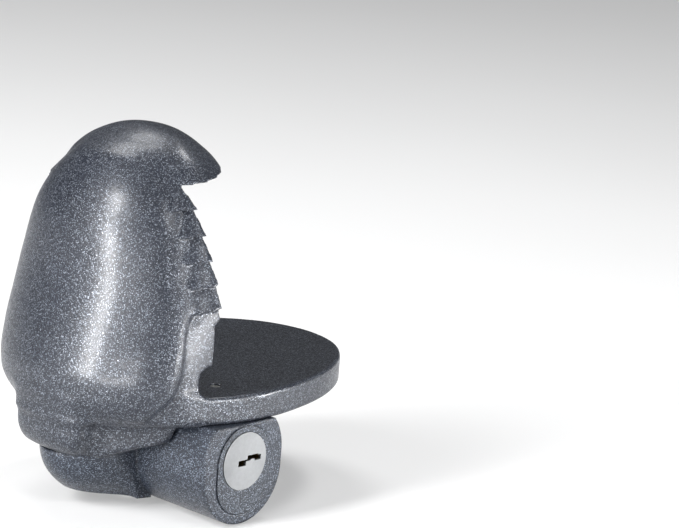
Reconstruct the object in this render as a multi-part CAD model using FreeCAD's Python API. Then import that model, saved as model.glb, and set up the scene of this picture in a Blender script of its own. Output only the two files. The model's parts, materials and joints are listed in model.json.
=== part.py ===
import FreeCAD, Part
import math, os

# Trailer coupler lock.  A cast hood that wraps the nose of a ball coupler, with
# a lock housing screwed under its shelf, a ratcheting ball post that rises into
# the coupler's socket, and a key cylinder that draws back the post's pawl.
# Frame: origin on the post axis in the plane of the shelf's top.  +X is the key
# side, -Y the front of the hood, +Z up.  Millimetres.

os.makedirs("parts", exist_ok=True)
V = FreeCAD.Vector

# ---------------------------------------------------------------- dimensions
SHELF_T = 7.5          # shelf thickness
WALL = 4.0             # hood wall
HOOD_TOP = 67.2
LIP_Z = 55.5           # underside of the top lip at its rear edge
POST_R = 10.0
POST_TOP = 28.0
POST_BOT = -34.4
POST_TRAVEL = 24.0
BORE_R = 10.06         # running fit on the post
PITCH = 4.0            # ratchet pitch, one sixth of the travel
GROOVE_W = 2.2
ROOT_R = 7.0
TOOTH_W = 1.6
TOOTH_Z = (-20.6, -24.6)
PAWL_TRAVEL = 2.985
CHIN_HALF = 13.0
SEAM_Z = -18.9         # chin underside / toe top
KEY_Z = -17.5          # key cylinder axis
BARREL_R = 14.2
BARREL_Z1 = -16.5
BARREL_Z2 = -20.7
BARREL_X = 38.5
HOUSE_X0 = -22.0
INS_R = 9.6            # cylinder insert, a stadium
INS_Z2 = -22.6
INS_X0 = 17.6
INS_X1 = 38.8
PLUG_R = 6.4
PLUG_BORE = 6.45
CAP_R = 7.9
CAP_BORE = 8.0
CAM_E = 2.11           # cam pin eccentricity
CAM_PIN_R = 1.5
SCREWS_TOE = [(9.4, -18.5), (-9.4, -18.5)]
SCREWS_REAR = [(-17.5, 7.5), (-17.5, -7.5)]


# ------------------------------------------------------------------- helpers
def box(x0, x1, y0, y1, z0, z1):
    return Part.makeBox(x1 - x0, y1 - y0, z1 - z0, V(x0, y0, z0))


def cyl(r, p, d, h):
    return Part.makeCylinder(r, h, V(*p), V(*d))


def cyl_z(r, x, y, z0, z1):
    return cyl(r, (x, y, z0), (0, 0, 1), z1 - z0)


def cyl_x(r, y, z, x0, x1):
    return cyl(r, (x0, y, z), (1, 0, 0), x1 - x0)


def cyl_y(r, x, z, y0, y1):
    return cyl(r, (x, y0, z), (0, 1, 0), y1 - y0)


def poly_face(pts):
    w = Part.makePolygon([V(*p) for p in pts] + [V(*pts[0])])
    return Part.Face(w)


def spline(pts, periodic=False):
    c = Part.BSplineCurve()
    if periodic:
        k = len(pts)
        c.interpolate(Points=[V(*p) for p in pts], PeriodicFlag=True,
                      Parameters=[i / k for i in range(k + 1)])
    else:
        c.interpolate(Points=[V(*p) for p in pts])
    return c.toShape()


def stadium_x(r, z_hi, z_lo, x0, x1):
    """Upright stadium, extruded along X."""
    a = Part.makeCylinder(r, x1 - x0, V(x0, 0, z_hi), V(1, 0, 0))
    b = Part.makeCylinder(r, x1 - x0, V(x0, 0, z_lo), V(1, 0, 0))
    m = box(x0, x1, -r, r, z_lo, z_hi)
    return a.fuse([b, m]).removeSplitter()


def oval(z, ya, yb, hw, yc, n=2.0, count=28):
    """Closed egg-shaped section: front apex ya, rear apex yb, half width hw."""
    pts = []
    for i in range(count):
        t = 2 * math.pi * i / count
        s, c = math.sin(t), math.cos(t)
        x = hw * math.copysign(abs(s) ** (2.0 / n), s)
        k = abs(c) ** (2.0 / n)
        y = yc - (yc - ya) * k if c >= 0 else yc + (yb - yc) * k
        pts.append((x, y, z))
    return Part.Wire([spline(pts, True)])


def coil(r, wire_r, y0, y1, turns, x, z):
    """Compression spring along Y, one solid with ground-off flat ends."""
    h = y1 - y0
    helix = Part.makeHelix(h / turns, h, r)
    prof = Part.Wire([Part.makeCircle(wire_r, V(r, 0, 0), V(0, 1, 0))])
    s = Part.Wire(helix.Edges).makePipeShell([prof], True, True)
    s = s if isinstance(s, Part.Solid) else Part.Solid(s)
    s.rotate(V(0, 0, 0), V(1, 0, 0), -90)      # helix axis +Z to +Y
    s.translate(V(x, y0, z))
    return s


def export(name, shapes):
    shape = shapes if isinstance(shapes, Part.Shape) else Part.makeCompound(shapes)
    shape.exportStep("parts/" + name + ".step")
    print(name, "solids", len(shape.Solids), "valid", shape.isValid(),
          "vol", round(shape.Volume, 1))


# --------------------------------------------------------------- hood casting
OUTER = [
    # z, front apex, rear apex, half width, y of widest point
    (-7.5, -35.4, 10.5, 31.0, -10.0),
    (-4.5, -38.2, 11.0, 33.1, -10.0),
    (-1.2, -40.2, 11.5, 34.55, -10.0),
    (1.0, -40.15, 11.5, 34.45, -10.0),
    (3.5, -40.0, 11.5, 34.25, -10.0),
    (8.0, -39.6, 11.5, 33.9, -10.0),
    (15.0, -38.0, 11.5, 33.0, -10.0),
    (25.0, -35.7, 11.5, 31.8, -10.0),
    (35.0, -33.2, 11.5, 30.7, -10.0),
    (44.0, -30.0, 11.5, 29.2, -10.0),
    (51.0, -25.8, 11.5, 26.9, -10.0),
    (57.0, -20.2, 10.6, 23.6, -9.0),
    (61.2, -15.2, 7.6, 18.4, -7.5),
    (64.2, -11.6, 3.6, 12.8, -6.0),
    (65.9, -8.6, -0.6, 7.2, -5.2),
    (66.5, -6.4, -3.2, 2.4, -4.8),
]
INNER = [
    (0.0, -35.4, 9.0, 29.7, -10.0),
    (3.0, -35.9, 9.0, 30.2, -10.0),
    (8.0, -35.5, 9.0, 29.9, -10.0),
    (15.0, -34.0, 9.0, 29.0, -10.0),
    (25.0, -31.6, 9.0, 27.7, -10.0),
    (35.0, -29.0, 9.0, 26.4, -10.0),
    (44.0, -25.4, 9.0, 24.6, -10.0),
    (51.0, -20.6, 8.4, 21.8, -10.0),
    (56.5, -14.8, 5.4, 17.4, -9.0),
    (59.6, -9.8, 1.2, 10.4, -7.0),
    (61.0, -7.2, -3.0, 4.6, -5.5),
]
outer = Part.makeLoft([oval(*s) for s in OUTER], True, False)
inner = Part.makeLoft([oval(*s) for s in INNER], True, False)

# what the open rear of the hood is trimmed to, seen from the side
REAR = [(-9.9, 0.0), (-12.3, 1.6), (-12.6, 4.6), (-10.0, 8.4), (-9.4, 18.9),
        (-6.6, 20.7), (-11.9, LIP_Z - 0.6), (-9.0, LIP_Z - 0.6), (12.0, LIP_Z + 2.2), (70.0, LIP_Z + 2.2), (70.0, 0.0)]
rear_cut = poly_face([(-60, y, z) for y, z in REAR]).extrude(V(120, 0, 0))
hood = outer.cut(inner).cut(rear_cut)

# shelf under the coupler's flange
SHELF = [(0, -30), (20, -28.5), (30.5, -20), (34.6, -11), (37.0, -3), (37.7, 5), (36.7, 18.5),
         (33.9, 30), (29.8, 41), (22.8, 52), (12.8, 60.3), (0, 63.4)]
sh_pts = [(x, y, -SHELF_T) for x, y in SHELF] + [(-x, y, -SHELF_T) for x, y in SHELF[-2:0:-1]]
shelf_face = Part.Face(Part.Wire([spline(sh_pts, True)]))
shelf = shelf_face.extrude(V(0, 0, SHELF_T))
hood = hood.fuse(shelf)

# chin and toe: lofts of bowed sections whose front edge and corners draw in towards the bottom
def bowed(z, half, side_y, arc, back_y):
    pts = [(-x, y) for x, y in arc] + [(x, y) for x, y in arc[-2::-1]]
    f = spline([(-half, side_y, z)] + [(x, y, z) for x, y in pts] + [(half, side_y, z)])
    return Part.Wire([f, Part.makeLine(V(half, side_y, z), V(half, back_y, z)),
                      Part.makeLine(V(half, back_y, z), V(-half, back_y, z)),
                      Part.makeLine(V(-half, back_y, z), V(-half, side_y, z))])


def chin_section(z, i):
    arc = [(11.7 - 0.55 * i, -35.3 + 1.25 * i), (6.6 - 0.2 * i, -37.2 + 1.05 * i), (0.0, -37.9 + i)]
    return bowed(z, CHIN_HALF, -32.4 + 1.3 * i, arc, -BARREL_R - 0.03)


chin = Part.makeLoft([chin_section(z, i) for z, i in
                      ((-2.0, 0.4), (-7.0, 0.0), (-11.0, 0.0), (-14.0, 0.5), (-16.2, 1.5), (-18.0, 3.1), (SEAM_Z, 5.0))], True, False)
# skirt that carries the chin's back out to the shelf on both sides
skirt = poly_face([(-CHIN_HALF, -34.4, -7.4), (CHIN_HALF, -34.4, -7.4), (24.5, -26.5, -7.4), (26.5, -14.6, -7.4),
                   (-26.5, -14.6, -7.4), (-24.5, -26.5, -7.4)]).extrude(V(0, 0, 5.0))
hood = hood.fuse([chin, skirt])

# grip ledges on both cheeks
ledges = []
for s in (1, -1):
    for i, (z, y) in enumerate([(50.0, -13.2), (43.2, -11.9), (36.4, -10.5), (29.6, -9.1), (22.8, -7.8)]):
        xo = {0: 27.6, 1: 29.8, 2: 31.2, 3: 32.3, 4: 33.1}[i]
        w = Part.makePolygon([V(s * (xo - 0.9), 0, z - 0.9), V(s * (xo + 3), 0, z - 0.9), V(s * (xo + 3), 0, z + 2.2),
                              V(s * (xo + 0.5), 0, z + 0.9), V(s * (xo - 0.9), 0, z - 0.9)])
        f = Part.Face(w)
        f.translate(V(0, y - 7.2, 0))
        ledges.append(f.extrude(V(0, 12, 0)))
hood = hood.cut(Part.makeCompound(ledges))

# bores in the hood
cuts = [cyl_z(BORE_R, 0, 0, -20, 1.0),
        cyl_z(13.1, 0, 0, -1.7, 1.0),                 # wiper seat
        cyl_z(1.52, 26, 0, -20, 1.0)]                 # cylinder retaining pin
for x, y in SCREWS_TOE + SCREWS_REAR:
    cuts.append(cyl_z(2.15, x, y, -25, 1.0))
    cuts.append(Part.makeCone(2.15, 4.4, 2.4, V(x, y, -2.4), V(0, 0, 1)))
cuts.append(cyl_z(1.52, 0, -30.6, -25, -11.0))
cuts.append(cyl_z(1.52, -17.5, 0, -25, -3.0))
for c in cuts:
    hood = hood.cut(c)

export("hood_shell", hood)

# --------------------------------------------------------------- lock housing
barrel = stadium_x(BARREL_R, BARREL_Z1, BARREL_Z2, HOUSE_X0, BARREL_X)
centre = box(HOUSE_X0 + 0.0, 13.0, -BARREL_R, BARREL_R, BARREL_Z2, -SHELF_T)
def toe_section(z, i):
    arc = [(12.2 - 0.25 * i, -22.0 + 0.9 * i), (10.4 - 0.35 * i, -27.0 + 1.0 * i), (7.2 - 0.25 * i, -31.1 + 1.0 * i),
           (3.4 - 0.1 * i, -33.5 + 1.0 * i), (0.0, -34.1 + i)]
    return bowed(z, 12.8, -16.0 + 0.3 * i, arc, -8.0)


toe_block = Part.makeLoft([toe_section(z, i) for z, i in
                           ((SEAM_Z, 0.0), (-22.0, 0.5), (-25.0, 1.8), (-28.0, 4.2), (-30.5, 7.2), (-33.5, 10.0))], True, False)
tp = [(-36.0, SEAM_Z), (-34.8, -24.0), (-31.6, -28.2), (-26.8, -30.5), (-21.5, -31.5), (-14.0, -32.6), (-6.0, -33.4)]
toe_e = spline([(-20, y, z) for y, z in tp])
toe_side = Part.Face(Part.Wire([toe_e, Part.makeLine(V(-20, -6, -33.4), V(-20, -6, SEAM_Z)),
                                Part.makeLine(V(-20, -6, SEAM_Z), V(-20, -36.0, SEAM_Z))])).extrude(V(40, 0, 0))
toe = toe_block.common(toe_side)
house = barrel.fuse([centre, toe])
house = house.cut(box(-60, 60, -60, 60, -SHELF_T, 10))
cuts = [
    stadium_x(INS_R + 0.03, KEY_Z, INS_Z2, INS_X0 - 0.1, 45),              # cylinder pocket
    cyl_x(7.6, 0, KEY_Z, 15.0, INS_X0),                                     # cam room
    box(-13.0, 15.1, -12.4, 12.4, -25.8, 0),                                # guide block and pawl room
    box(-7.15, 7.15, -22.3, -12.0, -25.8, SEAM_Z + 0.5),                      # pawl room in the toe
    cyl_y(2.9, 0, -22.6, -28.2, -22.0),                                     # spring pocket
    cyl_z(BORE_R, 0, 0, -40, 0),
    cyl_y(1.52, -9.0, -30.0, -10.0, 16.0),                                  # stop pin
    cyl_z(1.52, 0, -30.6, -23.0, 0),
    cyl_z(1.52, -17.5, 0, -20.0, 0),
    cyl_z(1.52, 26, 0, -12.0, 0),
]
for x, y in SCREWS_TOE:
    cuts.append(cyl_z(1.98, x, y, -26.4, 0))
for x, y in SCREWS_REAR:
    cuts.append(cyl_z(1.98, x, y, -22.6, 0))
for c in cuts:
    house = house.cut(c)
house = house.removeSplitter()
export("lock_housing", house)

# guide block: closes the pawl room and steadies the post
gb = box(-12.95, 15.05, -12.35, 12.35, -19.0, -SHELF_T)
gb = gb.cut(cyl_z(BORE_R, 0, 0, -40, 0))
gb = gb.cut(box(10.2, 16.0, -13.0, 6.2, -20.0, -16.0))
gb = gb.cut(cyl_x(7.6, 0, KEY_Z, 12.2, 16.0))
export("guide_block", gb)

# fasteners
def csk(x, y, z_end):
    s = cyl_z(1.95, x, y, z_end, -2.2)
    head = Part.makeCone(1.95, 3.9, 1.95, V(x, y, -2.3), V(0, 0, 1))
    s = s.fuse([head, cyl_z(3.9, x, y, -0.36, -0.15)])
    hexa = Part.Face(Part.makePolygon([V(x + 1.35 * math.cos(math.radians(a)), y + 1.35 * math.sin(math.radians(a)), -1.7)
                                       for a in range(0, 361, 60)])).extrude(V(0, 0, 3))
    return s.cut(hexa).removeSplitter()


export("housing_screws", [csk(x, y, -26.0) for x, y in SCREWS_TOE] + [csk(x, y, -22.0) for x, y in SCREWS_REAR])
export("dowel_pins", [cyl_z(1.5, 0, -30.6, -22.8, -11.2), cyl_z(1.5, -17.5, 0, -19.8, -3.2)])
export("stop_pin", cyl_y(1.5, -9.0, -30.0, -9.9, 11.0))
export("post_wiper", cyl_z(13.0, 0, 0, -1.65, -0.1).cut(cyl_z(10.09, 0, 0, -3, 1)))

# ------------------------------------------------------------------ ball post
post = cyl_z(POST_R, 0, 0, POST_BOT, POST_TOP - POST_R)
post = post.fuse(Part.makeSphere(POST_R, V(0, 0, POST_TOP - POST_R))).removeSplitter()
z = TOOTH_Z[1]
while z <= TOOTH_Z[0] + POST_TRAVEL + 0.1:
    ring = cyl_z(POST_R + 1, 0, 0, z - GROOVE_W / 2, z + GROOVE_W / 2).cut(cyl_z(ROOT_R, 0, 0, z - 3, z + 3))
    post = post.cut(ring)
    z += PITCH
post = post.cut(box(-12, -7.2, -12, 12, -31.8, -30.0 + 1.8 + POST_TRAVEL))    # stop flat
post = post.cut(Part.makeCone(6.0, 4.5, 1.5, V(0, 0, POST_BOT), V(0, 0, 1)))
post = post.cut(cyl_z(POST_R + 1, 0, 0, POST_BOT, POST_BOT + 1.2).cut(
    Part.makeCone(POST_R - 1.2, POST_R, 1.2, V(0, 0, POST_BOT), V(0, 0, 1))))
export("ball_post", post)

# ----------------------------------------------------------------------- pawl
PZ0, PZ1 = -25.55, -19.4
pawl = box(-6.85, 6.85, -19.0, -4.0, PZ0, PZ1)
pawl = pawl.fuse([box(6.0, 14.8, -9.2, -2.0, PZ0, PZ1), box(10.6, 14.8, -9.2, 5.6, PZ0, -16.5)])
pawl = pawl.cut(cyl_z(10.4, 0, PAWL_TRAVEL, -40, 0))
clear = cyl_z(10.35, 0, 0, -40, 0).fuse(box(-10.35, 10.35, 0, PAWL_TRAVEL, -40, 0))
lo = PZ0 - 1
for zt in sorted(TOOTH_Z):
    pawl = pawl.cut(clear.common(box(-20, 20, -20, 20, lo, zt - TOOTH_W / 2)))
    lo = zt + TOOTH_W / 2
pawl = pawl.cut(clear.common(box(-20, 20, -20, 20, lo, 0)))
py = CAM_E * math.sin(math.pi / 4)
pz = KEY_Z - CAM_E * math.cos(math.pi / 4)
pawl = pawl.cut(box(12.5, 16.0, py - CAM_PIN_R - 0.16, py + CAM_PIN_R + 0.16, -22.0, -10.0))
pawl = pawl.cut(cyl_y(1.55, 0, -22.6, -19.1, -15.5))
pawl = pawl.removeSplitter()
export("locking_pawl", pawl)
seat = cyl_y(1.5, 0, -22.6, -20.4, -15.7).fuse(cyl_y(2.6, 0, -22.6, -19.75, -19.05)).removeSplitter()
export("spring_seat", seat)
export("pawl_spring", coil(2.15, 0.32, -27.95, -20.2, 5.5, 0.0, -22.6))

# --------------------------------------------------------------- key cylinder
shell = stadium_x(INS_R, KEY_Z, INS_Z2, INS_X0, INS_X1)
shell = shell.cut(cyl_x(PLUG_BORE, 0, KEY_Z, INS_X0 - 1, INS_X1 + 1))
shell = shell.cut(cyl_x(CAP_BORE, 0, KEY_Z, 36.5, INS_X1 + 1))
shell = shell.cut(box(19.0, 34.4, -9.0, 9.0, KEY_Z - 3.4, KEY_Z + 3.4).common(
    cyl_x(7.9, 0, KEY_Z, 10, 50)))                                        # wafer slots beside the plug
for y in (-4.4, 4.4):
    shell = shell.cut(cyl_x(1.02, y, -27.2, 29.8, 37.9))
shell = shell.cut(cyl_z(1.52, 26, 0, -9.9, 0))
export("cylinder_shell", shell.removeSplitter())
export("guard_pins", [cyl_x(1.0, y, -27.2, 30.0, 37.7) for y in (-4.4, 4.4)])
export("cylinder_retaining_pin", cyl_z(1.5, 26, 0, -9.8, -0.3))

# plug, with its Z-shaped keyway
KEYWAY = [(-2.4, -1.25), (0.35, -1.25), (0.35, -0.1), (2.1, -0.1), (2.1, 0.2), (3.6, 0.2), (3.6, -0.35), (5.9, -0.35),
          (5.9, 1.05), (4.9, 1.05), (4.9, 1.35), (0.9, 1.35), (0.9, 0.35), (-2.4, 0.35)]
keyway = poly_face([(20.0, y, KEY_Z + z) for y, z in KEYWAY]).extrude(V(30, 0, 0))
plug = cyl_x(PLUG_R, 0, KEY_Z, 17.4, 36.7).fuse(cyl_x(CAP_R, 0, KEY_Z, 36.7, 38.1)).removeSplitter()
plug = plug.cut(keyway)
WAFER_X = [21.4, 24.2, 27.0, 29.8, 32.6]
for x in WAFER_X:
    plug = plug.cut(box(x - 0.6, x + 0.6, -7.0, 7.0, KEY_Z - 2.9, KEY_Z + 2.9))
    plug = plug.cut(cyl_y(0.75, x, KEY_Z + 3.9, -3.2, 3.2))
    plug = plug.cut(box(x - 0.6, x + 0.6, 0.9, 2.9, KEY_Z + 2.5, KEY_Z + 4.8))
for a in (90, 270):
    ry, rz = 4.6 * math.cos(math.radians(a + 45)), 4.6 * math.sin(math.radians(a + 45))
    plug = plug.cut(cyl_x(0.82, ry, KEY_Z + rz, 17.0, 20.0))
export("key_plug", plug)
cap = cyl_x(CAP_R, 0, KEY_Z, 38.1, 38.95).cut(keyway)
export("plug_face_cap", cap)

wafers, wsprings = [], []
for i, x in enumerate(WAFER_X):
    w = box(x - 0.5, x + 0.5, -6.3, 6.3, KEY_Z - 2.8, KEY_Z + 2.8).common(cyl_x(6.25, 0, KEY_Z, x - 1, x + 1))
    w = w.fuse(box(x - 0.5, x + 0.5, 1.0, 1.9, KEY_Z + 2.6, KEY_Z + 4.6))
    d = (-0.35, 0.15, -0.1, 0.3, -0.2)[i]
    w = w.cut(box(x - 1, x + 1, -2.7 + d, 5.15 + d, KEY_Z - 1.6, KEY_Z + 1.7))
    wafers.append(w.removeSplitter())
    wsprings.append(coil(0.5, 0.13, -2.9, 0.85, 5.0, x, KEY_Z + 3.9))
export("wafer_tumblers", wafers)
export("wafer_springs", wsprings)

# cam on the plug's tail: a disc that also keeps the plug in, with an eccentric pin
cam = cyl_x(7.2, 0, KEY_Z, 15.3, 17.35)
cam = cam.cut(cyl_x(1.51, py, pz, 15.0, 18.0))
rivets = []
for a in (90, 270):
    ry, rz = 4.6 * math.cos(math.radians(a + 45)), 4.6 * math.sin(math.radians(a + 45))
    cam = cam.cut(cyl_x(0.82, ry, KEY_Z + rz, 15.0, 18.0))
    rivets.append(cyl_x(0.8, ry, KEY_Z + rz, 15.35, 19.8))
export("cam_disc", cam)
export("cam_pin", cyl_x(CAM_PIN_R, py, pz, 12.8, 17.3))
export("cam_rivets", rivets)
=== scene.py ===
import bpy, bmesh, math, json
import numpy as np
from mathutils import Vector, Matrix


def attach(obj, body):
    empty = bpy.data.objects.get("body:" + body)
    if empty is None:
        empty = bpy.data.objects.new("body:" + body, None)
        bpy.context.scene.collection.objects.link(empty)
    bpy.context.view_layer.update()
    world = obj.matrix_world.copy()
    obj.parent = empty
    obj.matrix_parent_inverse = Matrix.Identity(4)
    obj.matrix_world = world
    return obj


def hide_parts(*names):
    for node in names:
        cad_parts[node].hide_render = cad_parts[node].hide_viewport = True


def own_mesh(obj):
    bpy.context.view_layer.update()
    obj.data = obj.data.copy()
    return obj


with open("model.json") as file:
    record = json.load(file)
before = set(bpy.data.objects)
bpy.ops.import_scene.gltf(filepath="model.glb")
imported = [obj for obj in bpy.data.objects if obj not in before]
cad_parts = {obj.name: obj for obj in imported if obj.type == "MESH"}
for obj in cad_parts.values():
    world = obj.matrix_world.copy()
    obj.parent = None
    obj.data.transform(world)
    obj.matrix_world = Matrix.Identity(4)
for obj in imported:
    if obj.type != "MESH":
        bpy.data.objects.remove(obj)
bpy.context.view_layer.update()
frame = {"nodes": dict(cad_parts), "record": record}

MM = 0.001


# ------------------------------------------------------------- field helpers
def pchip(xs, ys, x):
    xs, ys = np.asarray(xs, float), np.asarray(ys, float)
    h = np.diff(xs); dl = np.diff(ys) / h
    m = np.zeros(len(xs))
    m[0], m[-1] = dl[0], dl[-1]
    for i in range(1, len(xs) - 1):
        if dl[i - 1] * dl[i] <= 0:
            m[i] = 0
        else:
            w1, w2 = 2 * h[i] + h[i - 1], h[i] + 2 * h[i - 1]
            m[i] = (w1 + w2) / (w1 / dl[i - 1] + w2 / dl[i])
    x = np.asarray(x, float)
    k = np.clip(np.searchsorted(xs, x) - 1, 0, len(xs) - 2)
    t = (x - xs[k]) / h[k]
    h00 = (1 + 2 * t) * (1 - t) ** 2; h10 = t * (1 - t) ** 2
    h01 = t * t * (3 - 2 * t); h11 = t * t * (t - 1)
    y = h00 * ys[k] + h10 * h[k] * m[k] + h01 * ys[k + 1] + h11 * h[k] * m[k + 1]
    y = np.where(x < xs[0], ys[0] + (x - xs[0]) * m[0], y)
    y = np.where(x > xs[-1], ys[-1] + (x - xs[-1]) * m[-1], y)
    return y


def smin(a, b, k):
    h = np.clip(0.5 + 0.5 * (b - a) / k, 0, 1)
    return b + (a - b) * h - k * h * (1 - h)


def smax(a, b, k):
    return -smin(-a, -b, k)


def smooth(e0, e1, v):
    t = np.clip((v - e0) / (e1 - e0), 0, 1)
    return t * t * (3 - 2 * t)


def normed(f, h, floor=1e-3):
    gx, gy, gz = np.gradient(f, h)
    return f / np.maximum(np.sqrt(gx * gx + gy * gy + gz * gz), floor)


def polygon_sdf(px, py, poly):
    """Signed distance to a closed polygon, negative inside."""
    d = np.full(px.shape, 1e9, np.float32)
    s = np.ones(px.shape, np.float32)
    n = len(poly)
    for i in range(n):
        ax, ay = poly[i]; bx, by = poly[(i + 1) % n]
        ex, ey = bx - ax, by - ay
        wx, wy = px - ax, py - ay
        t = np.clip((wx * ex + wy * ey) / (ex * ex + ey * ey), 0, 1)
        dx, dy = wx - ex * t, wy - ey * t
        d = np.minimum(d, dx * dx + dy * dy)
        c1, c2, c3 = py >= ay, py < by, ex * wy > ey * wx
        flip = (c1 & c2 & c3) | (~c1 & ~c2 & ~c3)
        s = np.where(flip, -s, s)
    return (s * np.sqrt(d)).astype(np.float32)


def spline_poly(pts, per=10, closed=True):
    """Catmull-Rom points through a closed control polygon."""
    out = []
    n = len(pts)
    rng = range(n) if closed else range(n - 1)
    for i in rng:
        p0, p1, p2, p3 = (np.array(pts[(i + k) % n], float) if closed else np.array(pts[min(max(i + k, 0), n - 1)], float) for k in (-1, 0, 1, 2))
        for j in range(per):
            t = j / per
            out.append(tuple(0.5 * ((2 * p1) + (-p0 + p2) * t + (2 * p0 - 5 * p1 + 4 * p2 - p3) * t * t + (-p0 + 3 * p1 - 3 * p2 + p3) * t ** 3)))
    return out


def surface_nets(f, origin, h):
    """Mesh of the zero level of f (negative inside), as vertices and quads."""
    ins = f < 0
    nx, ny, nz = f.shape
    acc = np.zeros((nx - 1, ny - 1, nz - 1, 3), np.float32)
    cnt = np.zeros((nx - 1, ny - 1, nz - 1), np.float32)
    offs = [(0, 0, 0), (1, 0, 0), (0, 1, 0), (1, 1, 0), (0, 0, 1), (1, 0, 1), (0, 1, 1), (1, 1, 1)]
    edges = [(0, 1), (2, 3), (4, 5), (6, 7), (0, 2), (1, 3), (4, 6), (5, 7), (0, 4), (1, 5), (2, 6), (3, 7)]
    corner = [f[o[0]:nx - 1 + o[0], o[1]:ny - 1 + o[1], o[2]:nz - 1 + o[2]] for o in offs]
    csum = sum((c < 0).astype(np.uint8) for c in corner)
    idx = np.argwhere((csum > 0) & (csum < 8))
    i, j, k = idx.T
    vals = np.stack([c[i, j, k] for c in corner], 1)
    pos = np.zeros((len(idx), 3)); n = np.zeros(len(idx))
    for a, b in edges:
        va, vb = vals[:, a], vals[:, b]
        m = (va < 0) != (vb < 0)
        t = np.where(m, va / np.where(m, va - vb, 1), 0)
        oa, ob = np.array(offs[a], float), np.array(offs[b], float)
        p = oa + t[:, None] * (ob - oa)
        pos[m] += p[m]; n[m] += 1
    pos = (pos / n[:, None] + idx) * h + np.array(origin)
    ident = np.full((nx - 1, ny - 1, nz - 1), -1, np.int32)
    ident[i, j, k] = np.arange(len(idx))
    quads = []
    # x edges
    m = ins[:-1, 1:-1, 1:-1] != ins[1:, 1:-1, 1:-1]
    q = np.argwhere(m); x, y, z = q[:, 0], q[:, 1] + 1, q[:, 2] + 1
    s = ins[x, y, z]
    Q = np.stack([ident[x, y - 1, z - 1], ident[x, y, z - 1], ident[x, y, z], ident[x, y - 1, z]], 1)
    Q[~s] = Q[~s][:, ::-1]; quads.append(Q)
    m = ins[1:-1, :-1, 1:-1] != ins[1:-1, 1:, 1:-1]
    q = np.argwhere(m); x, y, z = q[:, 0] + 1, q[:, 1], q[:, 2] + 1
    s = ins[x, y, z]
    Q = np.stack([ident[x - 1, y, z - 1], ident[x - 1, y, z], ident[x, y, z], ident[x, y, z - 1]], 1)
    Q[~s] = Q[~s][:, ::-1]; quads.append(Q)
    m = ins[1:-1, 1:-1, :-1] != ins[1:-1, 1:-1, 1:]
    q = np.argwhere(m); x, y, z = q[:, 0] + 1, q[:, 1] + 1, q[:, 2]
    s = ins[x, y, z]
    Q = np.stack([ident[x - 1, y - 1, z], ident[x, y - 1, z], ident[x, y, z], ident[x - 1, y, z]], 1)
    Q[~s] = Q[~s][:, ::-1]; quads.append(Q)
    return pos, np.concatenate(quads)


def relax(pos, quads, rounds, amount):
    """Light Taubin smoothing, so that the casting has no voxel facets."""
    n = len(pos)
    a = np.concatenate([quads[:, [0, 1]], quads[:, [1, 2]], quads[:, [2, 3]], quads[:, [3, 0]]])
    for r in range(rounds):
        for lam in (amount, -amount * 1.04):
            s = np.zeros((n, 3)); c = np.zeros(n)
            for col in range(3):
                s[:, col] = np.bincount(a[:, 0], pos[a[:, 1], col], n) + np.bincount(a[:, 1], pos[a[:, 0], col], n)
            c = np.bincount(a[:, 0], minlength=n) + np.bincount(a[:, 1], minlength=n)
            pos = pos + lam * (s / np.maximum(c, 1)[:, None] - pos)
    return pos


def grid(lo, hi, h):
    ax = [np.arange(lo[k], hi[k] + h * 0.5, h, dtype=np.float32) for k in range(3)]
    X, Y, Z = np.meshgrid(*ax, indexing="ij")
    return X, Y, Z, ax


def to_object(name, pos, quads):
    me = bpy.data.meshes.new(name)
    me.vertices.add(len(pos)); me.vertices.foreach_set("co", (pos * MM).astype(np.float32).ravel())
    me.loops.add(len(quads) * 4); me.loops.foreach_set("vertex_index", quads.astype(np.int32).ravel())
    me.polygons.add(len(quads)); me.polygons.foreach_set("loop_start", (np.arange(len(quads)) * 4).astype(np.int32))
    me.polygons.foreach_set("loop_total", np.full(len(quads), 4, np.int32))
    me.update(calc_edges=True); me.validate()
    me.polygons.foreach_set("use_smooth", np.ones(len(me.polygons), bool))
    ob = bpy.data.objects.new(name, me)
    bpy.context.scene.collection.objects.link(ob)
    return ob


def cyl_z_sdf(X, Y, Z, x, y, r, z0, z1):
    return np.maximum(np.sqrt((X - x) ** 2 + (Y - y) ** 2) - r, np.maximum(z0 - Z, Z - z1))


# ---------------------------------------------------------------- hood shapes
#        z     a     yc    b_front
BULGE = [(-9.0, 14.0, -15.0, 9.0), (-8.4, 22.0, -15.0, 15.0), (-7.2, 28.2, -14.5, 20.4), (-5.0, 31.6, -13.6, 23.6), (-1.0, 34.0, -12.2, 26.6),
         (3.0, 34.5, -12.0, 27.0), (10.0, 34.3, -12.0, 25.8), (19.0, 33.0, -12.3, 23.4), (24.0, 31.9, -13.0, 21.5), (30.0, 29.9, -14.6, 18.7),
         (35.0, 28.7, -14.6, 18.0), (44.0, 26.4, -13.8, 17.3), (51.0, 23.0, -12.8, 15.5), (56.4, 18.6, -11.8, 12.9), (60.2, 14.6, -10.8, 10.3),
         (62.4, 9.6, -9.8, 7.0), (63.6, 4.6, -9.2, 3.4), (64.0, 1.0, -9.0, 0.8)]
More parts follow.
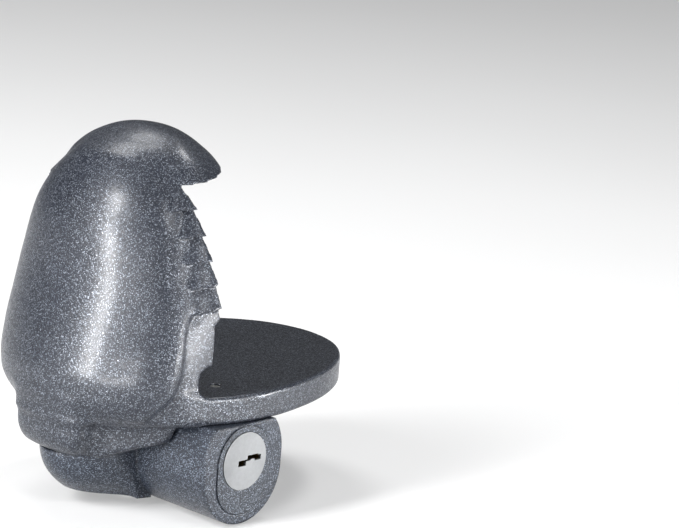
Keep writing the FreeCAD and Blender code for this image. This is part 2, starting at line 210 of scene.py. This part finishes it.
#        z     a     yc    b_front  b_rear
SHELL = [(-8.0, 34.2, -6.0, 30.0, 20.0), (0.0, 34.2, -6.0, 30.0, 20.0), (10.0, 34.0, -6.0, 29.5, 20.0), (19.0, 33.7, -6.0, 27.0, 20.0),
         (24.0, 33.4, -6.0, 23.8, 19.0), (30.0, 33.1, -6.0, 21.0, 18.0), (37.0, 32.3, -6.0, 20.0, 16.5), (43.0, 31.0, -6.0, 19.0, 16.5),
         (49.0, 29.2, -6.0, 17.3, 16.5), (53.0, 27.2, -6.0, 15.8, 17.0), (57.0, 23.8, -6.4, 13.8, 17.0), (61.2, 18.3, -6.9, 9.2, 14.5),
         (64.2, 12.7, -5.9, 6.0, 9.5), (65.9, 7.2, -5.1, 3.4, 4.9), (66.5, 1.8, -4.8, 0.9, 1.0)]
#         z     a     yc    b_front  b_rear
HOLLOW = [(-3.0, 29.6, -10.0, 25.2, 19.0), (3.0, 30.2, -10.0, 25.9, 19.0), (8.0, 29.9, -10.0, 25.5, 19.0), (15.0, 29.0, -10.0, 24.0, 19.0),
          (25.0, 27.7, -10.0, 21.6, 19.0), (35.0, 26.4, -10.0, 19.0, 19.0), (44.0, 24.6, -10.0, 15.4, 19.0), (51.0, 21.8, -10.0, 10.6, 18.4),
          (56.5, 17.4, -9.0, 5.8, 14.4), (59.6, 10.4, -7.0, 2.8, 8.2), (61.0, 3.6, -5.5, 1.4, 2.5)]
REAR_CUT = [(-9.6, -0.2), (-11.4, 0.5), (-12.5, 1.9), (-12.7, 4.6), (-12.2, 6.6), (-10.8, 7.7), (-8.5, 8.5), (-8.2, 18.9), (-7.9, 19.4), (-6.9, 20.6),
            (-7.3, 23.5), (-8.5, 29.9), (-10.2, 36.4), (-11.4, 42.8), (-12.4, 49.2), (-13.4, 54.6),
            (-9.0, 55.2), (1.0, 56.2), (12.0, 57.6), (80.0, 57.6), (80.0, -0.2)]
PLAN = [(0, -35.6), (8, -35.3), (13.2, -32.6), (19.2, -28.3), (25.0, -23.2), (29.6, -17.6), (33.2, -11.2), (36.0, -4), (37.5, 4), (37.4, 11),
        (36.6, 18.5), (34.0, 30), (29.8, 41), (22.8, 52), (12.8, 60.3), (0, 63.4)]
LEDGE_Z = (49.4, 42.9, 36.4, 30.0, 23.6)


def egg(X, Y, zax, table, rear, h):
    z = zax.astype(float)
    zs = [r[0] for r in table]
    a2 = pchip(zs, [r[1] ** 2 for r in table], z)
    zk = np.clip(z, zs[0], zs[-1])
    yc = pchip(zs, [r[2] for r in table], zk)
    qf = pchip(zs, [(r[1] / r[3]) ** 2 for r in table], zk)
    qr = pchip(zs, [(r[1] / r[4]) ** 2 if rear is None else rear for r in table], zk)
    a2, yc, qf, qr = (v[None, None, :].astype(np.float32) for v in (a2, yc, qf, qr))
    dy = Y - yc
    f = X * X + dy * dy * np.where(dy < 0, qf, qr) - a2
    return normed(f, h, 2.0)


def hood_field(h):
    lo, hi = (-39.6, -42.6, -20.5), (39.6, 65.0, 68.6)
    X, Y, Z, ax = grid(lo, hi, h)
    B = egg(X, Y, ax[2], BULGE, 3.6, h)
    # the bulge ends in a rounded edge that stands a little proud of the sides
    d = pchip([-9, -5, -3.0, -1.2, 1.0, 5.0, 8.5, 11.5, 16.8, 19.2, 24.25, 31.25, 70], [7.6, 11.3, 13.16, 14.89, 16.47, 17.84, 18.48, 18.55, 18.36, 18.51, 20.1, 25.5, 40], np.clip(ax[2].astype(float), -9, 70))
    d = d[None, None, :].astype(np.float32)
    B = smax(B, 0.866 * np.abs(X) + 0.5 * Y - d, 1.3)
    S = egg(X, Y, ax[2], SHELL, None, h)
    S = smax(S, -(Y + 22.8), 1.5)
    S = smax(S, -6.6 - Z, 1.5)
    # grip ledges: each scale stands a little prouder towards its lower edge
    aX = np.abs(X)
    t = np.full(Z.shape, 0.0, np.float32)
    edge_y = -8.6 - 0.17 * (Z - 30.0)
    for i, zl in enumerate(LEDGE_Z):
        zc = zl + (Y - edge_y) * 0.12
        above = Z - zc
        prof = np.where((above > 0) & (above < 6.3), 1.0 - above / 6.3, 0.0) ** 1.2
        t = np.maximum(t, prof * smooth(-0.2, 0.25, above))
    mask = smooth(-13.4, -5.2, Y - edge_y) * smooth(18.0, 24.0, aX)
    S = S - 2.1 * (t - 0.36) * mask * (1.0 - 0.35 * smooth(-3.0, 0.0, Y - edge_y))
    # the flange the ledges stand on runs on over the top as the lip
    outer = smin(B, S, 0.5 + 2.0 * smooth(57.0, 62.5, Z))
    plate = polygon_sdf(X[:, :, 0], Y[:, :, 0], spline_poly(PLAN + [(-x, y) for x, y in PLAN[-2:0:-1]], 6))[:, :, None]
    slab = smax(smax(plate, Z - 0.0, 1.4), -7.5 - Z, 1.2)
    outer = smin(outer, smax(slab, -(Z + 7.5), 0.8), 3.2)
    # inside of the hood
    inner = egg(X, Y, ax[2], HOLLOW, None, h)
    inner = smax(inner, -Z, 1.6)
    body = smax(outer, -inner, 0.5)
    # open rear
    cut = polygon_sdf(Y[0], Z[0], REAR_CUT)[None, :, :]
    body = smax(body, -cut, 0.45)
    # shelf under the coupler
    floor_ = smax(smax(plate, Z - 0.0, 0.9), -7.5 - Z, 1.1)
    body = smin(body, floor_, 0.8)
    # chin
    half = 12.3
    side = [(half, -14.25), (half, -24), (half, -31.6), (12.15, -33.8), (11.5, -35.3), (10.1, -36.4), (6.4, -37.3)]
    chin_plan = spline_poly([(-x, y) for x, y in side] + [(0, -37.9)] + side[::-1], 6, False)
    cp = polygon_sdf(X[:, :, 0], Y[:, :, 0], chin_plan)[:, :, None]
    low = np.clip((-11.5 - Z) / 7.4, 0, 1)
    front = smooth(-24.0, -33.0, Y)
    cp = cp + front * 5.4 * (1 - np.sqrt(np.clip(1 - low ** 2, 0, 1)))
    chin = smax(smax(cp, -18.9 - Z, 0.7), Z + 3.0, 1.0)
    body = smin(body, chin, 3.0)
    # brace from the chin's side up to the shelf, over the front of the barrel
    half_plan = [(10.6, -29.0), (13.0, -27.6), (15.8, -25.6), (19.4, -22.4), (23.6, -18.4), (27.6, -13.9)]
    wp = polygon_sdf(X[:, :, 0], Y[:, :, 0], half_plan + [(-x, y) for x, y in half_plan[::-1]])[:, :, None]
    reach = pchip([-21, -18.9, -15.7, -13.5, -9.3, -7.5, 0], [12.4, 13.2, 19.5, 24.6, 27.0, 27.6, 29.0], np.clip(ax[2].astype(float), -21, 0))
    web = smax(wp, (aX - reach[None, None, :].astype(np.float32)) * 0.62, 1.0)
    web = np.maximum(np.maximum(web, -18.9 - Z), Z + 4.0)
    body = smin(body, web, 2.6)
    # keep clear of the housing's barrel and top
    r = np.sqrt(Y ** 2 + (Z + 16.5) ** 2)
    barrel = np.where(Z > -16.5, np.abs(Y), r) - 14.25
    barrel = np.where(aX > 13.0, r - 14.25, np.abs(Y) - 14.25)
    barrel = np.maximum(barrel, Z + 7.5)
    body = smax(body, -barrel, 0.3)
    body = np.maximum(body, -18.9 - Z)
    # bores and countersinks
    for x, y, rr, z0, z1 in ((0, 0, 10.06, -30, 5), (0, 0, 13.1, -1.7, 5), (26, 0, 1.52, -30, 5), (0, -30.6, 1.52, -30, -11), (-17.5, 0, 1.52, -30, -3)):
        body = np.maximum(body, -cyl_z_sdf(X, Y, Z, x, y, rr, z0, z1))
    for x, y in ((9.4, -18.5), (-9.4, -18.5), (-17.5, 7.5), (-17.5, -7.5)):
        q = np.sqrt((X - x) ** 2 + (Y - y) ** 2)
        cone = (q - (2.15 + np.clip(Z + 2.4, 0, 4) * 0.94)) * 0.73
        body = np.maximum(body, -np.maximum(np.maximum(cone, -25 - Z), Z - 1.5))
    return body, lo


def build_hood():
    h = 0.5
    f, lo = hood_field(h)
    pos, quads = surface_nets(f, lo, h)
    pos = relax(pos, quads, 2, 0.45)
    ob = to_object("hood_casting", pos, quads)
    # drop stray islands
    bm = bmesh.new(); bm.from_mesh(ob.data)
    seen, keep = set(), None
    groups = []
    for v in bm.verts:
        if v.index in seen:
            continue
        stack, g = [v], []
        seen.add(v.index)
        while stack:
            u = stack.pop(); g.append(u)
            for e in u.link_edges:
                w = e.other_vert(u)
                if w.index not in seen:
                    seen.add(w.index); stack.append(w)
        groups.append(g)
    big = max(groups, key=len)
    for g in groups:
        if g is not big:
            bmesh.ops.delete(bm, geom=g, context="VERTS")
    bm.to_mesh(ob.data); bm.free()
    print("hood_casting", len(ob.data.vertices), "verts", len(groups), "islands")
    return ob


# ------------------------------------------------------------------ materials
def nt(mat):
    mat.use_nodes = True
    t = mat.node_tree
    t.nodes.clear()
    out = t.nodes.new("ShaderNodeOutputMaterial")
    b = t.nodes.new("ShaderNodeBsdfPrincipled")
    t.links.new(b.outputs["BSDF"], out.inputs["Surface"])
    return t, b


def N(t, kind, **kw):
    n = t.nodes.new(kind)
    for k, v in kw.items():
        setattr(n, k, v)
    return n


def ramp(t, src, stops, interp="LINEAR"):
    r = N(t, "ShaderNodeValToRGB")
    r.color_ramp.interpolation = interp
    while len(r.color_ramp.elements) < len(stops):
        r.color_ramp.elements.new(0.5)
    for e, (p, c) in zip(r.color_ramp.elements, stops):
        e.position = p
        e.color = c if len(c) == 4 else (*c, 1)
    t.links.new(src, r.inputs["Fac"])
    return r.outputs["Color"]


def mixc(t, fac, a, b, mode="MIX"):
    m = N(t, "ShaderNodeMix", data_type="RGBA", blend_type=mode)
    if isinstance(fac, (int, float)):
        m.inputs[0].default_value = fac
    else:
        t.links.new(fac, m.inputs[0])
    for sock, v in ((m.inputs[6], a), (m.inputs[7], b)):
        if isinstance(v, tuple):
            sock.default_value = v if len(v) == 4 else (*v, 1)
        else:
            t.links.new(v, sock)
    return m.outputs[2]


def math_(t, op, a, b=None, clamp=False):
    m = N(t, "ShaderNodeMath", operation=op, use_clamp=clamp)
    for s, v in zip(m.inputs, (a, b)):
        if v is None:
            continue
        if isinstance(v, (int, float)):
            s.default_value = v
        else:
            t.links.new(v, s)
    return m.outputs[0]


def hammertone(name, base, fleck, edge=0.0):
    """Dark powder coat full of fine metallic flecks, with a slight orange peel."""
    mat = bpy.data.materials.new(name)
    t, b = nt(mat)
    co = N(t, "ShaderNodeTexCoord")
    P = co.outputs["Object"]

    def voro(scale, feat="F1"):
        v = N(t, "ShaderNodeTexVoronoi", feature=feat)
        v.inputs["Scale"].default_value = scale
        t.links.new(P, v.inputs["Vector"])
        return v

    def noise(scale, detail=3.0, rough=0.55):
        n = N(t, "ShaderNodeTexNoise")
        n.inputs["Scale"].default_value = scale
        n.inputs["Detail"].default_value = detail
        n.inputs["Roughness"].default_value = rough
        t.links.new(P, n.inputs["Vector"])
        return n.outputs["Fac"]

    v1, v2 = voro(3600), voro(5200)
    c1 = N(t, "ShaderNodeSeparateColor"); t.links.new(v1.outputs["Color"], c1.inputs[0])
    c2 = N(t, "ShaderNodeSeparateColor"); t.links.new(v2.outputs["Color"], c2.inputs[0])
    grain = ramp(t, c2.outputs[0], [(0.0, (base[0] * 0.62, base[1] * 0.62, base[2] * 0.62)), (0.55, base), (1.0, (base[0] * 1.7, base[1] * 1.7, base[2] * 1.72))])
    big = noise(55, 4.0)
    tone = ramp(t, big, [(0.3, (0.86, 0.86, 0.87)), (0.7, (1.12, 1.12, 1.12))])
    col = mixc(t, 1.0, grain, tone, "MULTIPLY")
    bright = ramp(t, c1.outputs[1], [(0.0, (0, 0, 0)), (0.45, (0, 0, 0)), (0.80, (0.30, 0.30, 0.30)), (1.0, (0.70, 0.70, 0.70))])
    spot = ramp(t, v1.outputs["Distance"], [(0.0, (1, 1, 1)), (0.42, (1, 1, 1)), (0.62, (0, 0, 0))])
    fl = mixc(t, 1.0, bright, spot, "MULTIPLY")
    col = mixc(t, fl, col, fleck)
    t.links.new(col, b.inputs["Base Color"])
    met = mixc(t, fl, (0.12, 0.12, 0.12), (0.9, 0.9, 0.9))
    t.links.new(met, b.inputs["Metallic"])
    rg = ramp(t, noise(900, 2.0), [(0.3, (0.30, 0.30, 0.30)), (0.7, (0.43, 0.43, 0.43))])
    t.links.new(rg, b.inputs["Roughness"])
    b.inputs["Specular IOR Level"].default_value = 0.34
    b.inputs["Coat Weight"].default_value = 0.22
    b.inputs["Coat Roughness"].default_value = 0.20
    # orange peel and fleck relief
    bump1 = N(t, "ShaderNodeBump"); bump1.inputs["Strength"].default_value = 0.22; bump1.inputs["Distance"].default_value = 0.00012
    t.links.new(noise(620, 2.0), bump1.inputs["Height"])
    bump2 = N(t, "ShaderNodeBump"); bump2.inputs["Strength"].default_value = 0.35; bump2.inputs["Distance"].default_value = 0.00006
    t.links.new(c2.outputs[1], bump2.inputs["Height"])
    t.links.new(bump1.outputs["Normal"], bump2.inputs["Normal"])
    if edge:
        bv = N(t, "ShaderNodeBevel", samples=4)
        bv.inputs["Radius"].default_value = edge
        t.links.new(bv.outputs["Normal"], bump1.inputs["Normal"])
    tip = N(t, "ShaderNodeVectorMath", operation="SUBTRACT")
    t.links.new(v1.outputs["Color"], tip.inputs[0]); tip.inputs[1].default_value = (0.5, 0.5, 0.5)
    tsc = N(t, "ShaderNodeVectorMath", operation="SCALE"); t.links.new(tip.outputs[0], tsc.inputs[0])
    tsc.inputs["Scale"].default_value = 0.20
    add = N(t, "ShaderNodeVectorMath", operation="ADD")
    t.links.new(bump2.outputs["Normal"], add.inputs[0]); t.links.new(tsc.outputs[0], add.inputs[1])
    nrm = N(t, "ShaderNodeVectorMath", operation="NORMALIZE"); t.links.new(add.outputs[0], nrm.inputs[0])
    t.links.new(nrm.outputs[0], b.inputs["Normal"])
    coatn = b.inputs.get("Coat Normal")
    if coatn is not None:
        t.links.new(bump1.outputs["Normal"], coatn)
    return mat


def metal(name, col, rough, scale=(400, 400, 400), streak=0.12, bumpd=0.00002, metallic=1.0, spots=None, axis_turn=None):
    mat = bpy.data.materials.new(name)
    t, b = nt(mat)
    co = N(t, "ShaderNodeTexCoord")
    mp = N(t, "ShaderNodeMapping")
    mp.inputs["Scale"].default_value = scale
    t.links.new(co.outputs["Object"], mp.inputs["Vector"])
    n = N(t, "ShaderNodeTexNoise")
    n.inputs["Scale"].default_value = 1.0
    n.inputs["Detail"].default_value = 5.0
    n.inputs["Roughness"].default_value = 0.65
    t.links.new(mp.outputs["Vector"], n.inputs["Vector"])
    f = n.outputs["Fac"]
    lo = tuple(c * (1 - streak) for c in col); hi = tuple(min(1, c * (1 + streak)) for c in col)
    c = ramp(t, f, [(0.3, lo), (0.7, hi)])
    n2 = N(t, "ShaderNodeTexNoise")
    n2.inputs["Scale"].default_value = 90.0
    n2.inputs["Detail"].default_value = 4.0
    t.links.new(co.outputs["Object"], n2.inputs["Vector"])
    if spots:
        m = ramp(t, n2.outputs["Fac"], [(0.45, (0, 0, 0)), (0.75, (0.7, 0.7, 0.7))])
        c = mixc(t, m, c, spots)
    t.links.new(c, b.inputs["Base Color"])
    b.inputs["Metallic"].default_value = metallic
    r = ramp(t, n2.outputs["Fac"], [(0.25, (rough * 0.8,) * 3), (0.75, (min(1, rough * 1.3),) * 3)])
    t.links.new(r, b.inputs["Roughness"])
    bp = N(t, "ShaderNodeBump"); bp.inputs["Strength"].default_value = 0.5; bp.inputs["Distance"].default_value = bumpd
    t.links.new(f, bp.inputs["Height"])
    t.links.new(bp.outputs["Normal"], b.inputs["Normal"])
    return mat


MATS = {
    "hammertone_hood": hammertone("coat_hood", (0.010, 0.012, 0.018), (0.29, 0.32, 0.37)),
    "hammertone_housing": hammertone("coat_housing", (0.008, 0.011, 0.018), (0.29, 0.33, 0.40), 0.0011),
    "hammertone_cylinder": hammertone("coat_cylinder", (0.009, 0.012, 0.018), (0.30, 0.34, 0.41), 0.0004),
    "bright_cap": metal("nickel_face", (0.20, 0.205, 0.21), 0.34, (60, 900, 900), 0.06, 0.00001),
    "post_steel": metal("turned_steel", (0.56, 0.565, 0.57), 0.27, (60, 60, 2600), 0.16, 0.00002, spots=(0.40, 0.39, 0.37)),
    "zinc": metal("bare_zinc", (0.50, 0.51, 0.52), 0.5, (300, 300, 300), 0.12, 0.00003),
    "plated_steel": metal("plated_steel", (0.62, 0.62, 0.58), 0.32, (500, 500, 500), 0.12, 0.00002),
    "black_oxide": metal("black_oxide", (0.035, 0.035, 0.04), 0.42, (700, 700, 700), 0.3, 0.00002, spots=(0.08, 0.075, 0.07)),
    # brass colour set far darker than real brass: painted shade, so the plug and pins inside the keyway read dark
    "brass": metal("brass", (0.20, 0.145, 0.06), 0.33, (400, 400, 400), 0.14, 0.00002),
    "spring_steel": metal("spring_wire", (0.38, 0.39, 0.41), 0.3, (800, 800, 800), 0.15, 0.00001),
    "rubber": metal("black_rubber", (0.022, 0.022, 0.023), 0.75, (900, 900, 900), 0.25, 0.00003, metallic=0.0),
}
slot_of = {s["node"]: s["material_slot"] for s in frame["record"]["subparts"]}
for name, ob in frame["nodes"].items():
    m = MATS[slot_of[name]]
    if len(ob.material_slots) == 0:
        ob.data.materials.append(m)
    for sl in ob.material_slots:
        sl.material = m

hood = build_hood()
hood.data.materials.append(MATS["hammertone_hood"])
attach(hood, "hood"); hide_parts("hood_shell")

# the pawl's coil spring, copied into a mesh of its own that rides on the hood
src = [o for o in bpy.data.objects if o.type == "MESH" and o.name == "pawl_spring"][0]
coil = bpy.data.objects.new("pawl_coil", src.data.copy())
bpy.context.scene.collection.objects.link(coil)
bpy.context.view_layer.update()
coil.matrix_world = src.matrix_world.copy()
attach(coil, "hood"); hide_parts("pawl_spring")
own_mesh(coil)

# ---------------------------------------------------------------------- stage
me = bpy.data.meshes.new("floor")
bm = bmesh.new()
zf = -0.0352
S_ = 6.0
vs = [bm.verts.new(p) for p in ((-S_, -S_, zf), (S_, -S_, zf), (S_, S_, zf), (-S_, S_, zf))]
bm.faces.new(vs); bm.to_mesh(me); bm.free()
floor = bpy.data.objects.new("floor", me)
bpy.context.scene.collection.objects.link(floor)
fm = bpy.data.materials.new("floor_mat")
t, b = nt(fm)
co = N(t, "ShaderNodeTexCoord"); n = N(t, "ShaderNodeTexNoise"); n.inputs["Scale"].default_value = 3.0
t.links.new(co.outputs["Object"], n.inputs["Vector"])
t.links.new(ramp(t, n.outputs["Fac"], [(0.3, (0.54, 0.54, 0.54)), (0.7, (0.57, 0.57, 0.57))]), b.inputs["Base Color"])
b.inputs["Roughness"].default_value = 0.7
b.inputs["Emission Color"].default_value = (1.0, 1.0, 1.0, 1)
b.inputs["Emission Strength"].default_value = 0.26
floor.data.materials.append(fm)

world = bpy.data.worlds.new("studio")
bpy.context.scene.world = world
world.use_nodes = True
bg = world.node_tree.nodes["Background"]
bg.inputs["Color"].default_value = (0.95, 0.97, 1.0, 1)
bg.inputs["Strength"].default_value = 0.13

# camera frame of the calibrated view
A, E, R_ = math.radians(41.877), math.radians(13.513), math.radians(4.57)
back = Vector((math.sin(A) * math.cos(E), -math.cos(A) * math.cos(E), math.sin(E)))
right = Vector((math.cos(A), math.sin(A), 0)); up = back.cross(right)
RX = right * math.cos(R_) + up * math.sin(R_)
UX = right * -math.sin(R_) + up * math.cos(R_)
cam_data = bpy.data.cameras.new("camera")
cam = bpy.data.objects.new("camera", cam_data)
bpy.context.scene.collection.objects.link(cam)
m = Matrix((RX, UX, back)).transposed().to_4x4()
m.translation = Vector((0.55916, -0.54932, 0.23699 - 0.0175))
cam.matrix_world = m
cam_data.sensor_fit = "HORIZONTAL"; cam_data.sensor_width = 36.0
cam_data.lens = 3005.0 / 679.0 * 36.0
cam_data.clip_start = 0.01; cam_data.clip_end = 50
bpy.context.scene.camera = cam


def area(name, loc, target, size, energy, color=(1, 1, 1), size_y=None):
    ld = bpy.data.lights.new(name, "AREA")
    ld.energy = energy; ld.color = color; ld.shape = "RECTANGLE"
    ld.size = size; ld.size_y = size_y or size
    lo = bpy.data.objects.new(name, ld)
    bpy.context.scene.collection.objects.link(lo)
    d = Vector(loc) - Vector(target)
    lo.matrix_world = Matrix.Translation(Vector(loc)) @ d.to_track_quat("Z", "Y").to_matrix().to_4x4()
    return lo


def dirv(az, el, dist):
    a, e = math.radians(az), math.radians(el)
    return (math.sin(a) * math.cos(e) * dist, -math.cos(a) * math.cos(e) * dist, math.sin(e) * dist)


area("key", dirv(-7, 22, 0.9), (0, 0, 0.02), 0.19, 10.5, (1, 1, 1), 0.72)
area("key_low", dirv(-3, 6, 0.9), (0, 0, 0.0), 0.16, 4.2, (1, 1, 1), 0.24)
area("key_high", dirv(-10, 42, 0.9), (0, 0, 0.04), 0.22, 3.8, (1, 1, 1), 0.24)
area("side", dirv(84, 38, 0.9), (0, 0, 0.03), 0.30, 2.4)
area("crown", dirv(-104, 60, 0.9), (0, 0, 0.05), 0.30, 2.7)
area("crown_back", dirv(180, 66, 0.9), (0, 0, 0.05), 0.20, 3.1)
area("front", dirv(41, 20, 1.2), (0, 0, 0.02), 0.30, 0.5)
area("low", dirv(102, -3.3, 0.32), (0.02, 0, 0.0), 0.12, 0.5, (1, 1, 1), 0.03)
area("edge", dirv(87, -2.5, 0.45), (0.02, -0.02, -0.005), 0.03, 0.6, (1, 1, 1), 0.03)
area("rim", dirv(134, 1, 0.8), (0.03, 0, 0.0), 0.14, 5.1, (1, 1, 1), 0.06)
area("rim_high", dirv(104, 10, 0.8), (0.03, 0, 0.0), 0.10, 0.6, (1, 1, 1), 0.20)
area("bounce", dirv(24, -2.5, 0.55), (0.0, 0, -0.01), 0.30, 1.5, (1, 1, 1), 0.02)

bpy.context.scene.view_settings.view_transform = "Standard"
bpy.context.scene.view_settings.look = "None"
